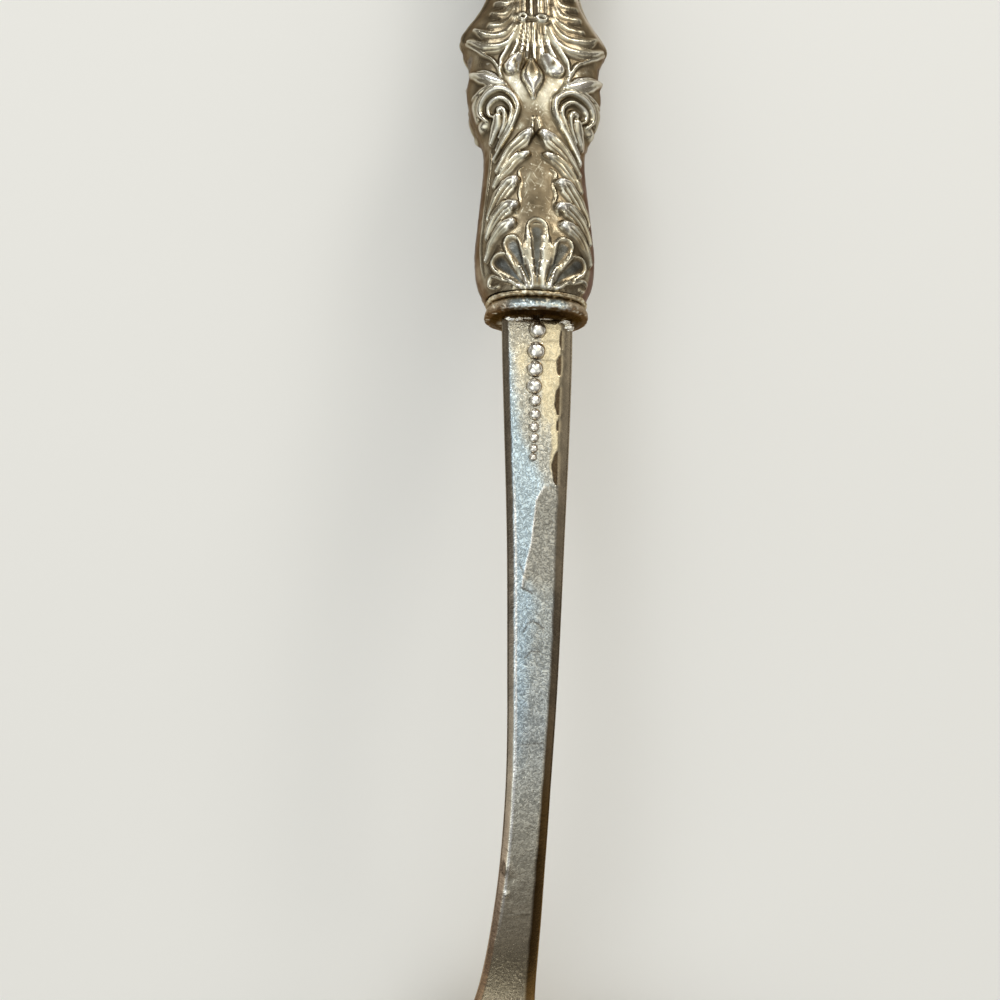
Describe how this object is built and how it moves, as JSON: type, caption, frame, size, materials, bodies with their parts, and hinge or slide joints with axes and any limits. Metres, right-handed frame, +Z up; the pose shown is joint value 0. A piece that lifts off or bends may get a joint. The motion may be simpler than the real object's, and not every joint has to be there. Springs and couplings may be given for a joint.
{
  "type": "serving ladle",
  "caption": "Serving ladle with a round bowl, an arched flat-fronted stem with a row of beads, a moulded ferrule and a hollow struck handle with shell and scroll ornament.",
  "frame": {"origin": "on the table, under the middle of the ladle's bounding box", "axes": "+Y from the bowl to the end of the handle, +Z up from the table, +X to the right seen from the front"},
  "size_m": [0.077, 0.2918, 0.0448],
  "materials": {
    "struck_plate": "worn silver plate on struck sheet, warm tarnish in the hollows",
    "plate": "worn silver plate, softly polished",
    "cement": "rough set cement"
  },
  "bodies": {
    "root": {"handle_front_shell": "struck_plate", "handle_back_shell": "struck_plate", "handle_filler": "cement", "ferrule_collar": "plate", "stem": "plate", "bowl": "plate"}
  },
  "joints": []
}
